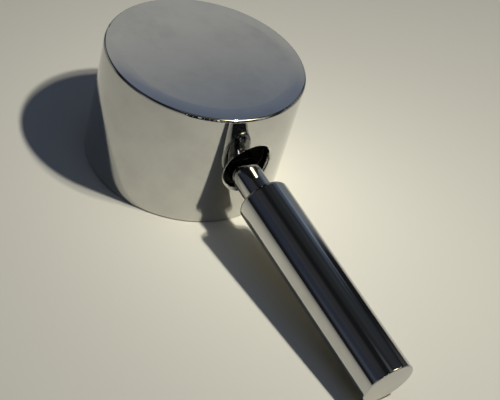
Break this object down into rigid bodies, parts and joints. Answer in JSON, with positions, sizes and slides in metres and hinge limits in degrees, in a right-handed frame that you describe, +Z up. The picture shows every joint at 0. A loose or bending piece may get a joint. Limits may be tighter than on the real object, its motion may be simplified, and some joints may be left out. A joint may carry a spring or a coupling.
{
  "type": "diverter lever",
  "caption": "Chrome lever handle for a diverter valve: a hollow round hood with a toothed spindle socket, and a straight bar lever on a slim neck through a window in its side.",
  "frame": {"origin": "centre of the hood's rim, in the plane of the rim, where the hood's axis meets it", "axes": "+Z up along the hood's axis to its flat top, +X through the middle of the window that the lever comes out of"},
  "size_m": [0.1059, 0.047, 0.03],
  "materials": {
    "hood_chrome": "polished chrome on a zinc die casting",
    "lever_chrome": "polished chrome on turned brass",
    "bush_brass": "machined",
    "screw_steel": "black oxide"
  },
  "bodies": {
    "root": {"hood": "hood_chrome", "spline_bush": "bush_brass", "grub_screw": "screw_steel", "lever": "lever_chrome"}
  },
  "joints": []
}
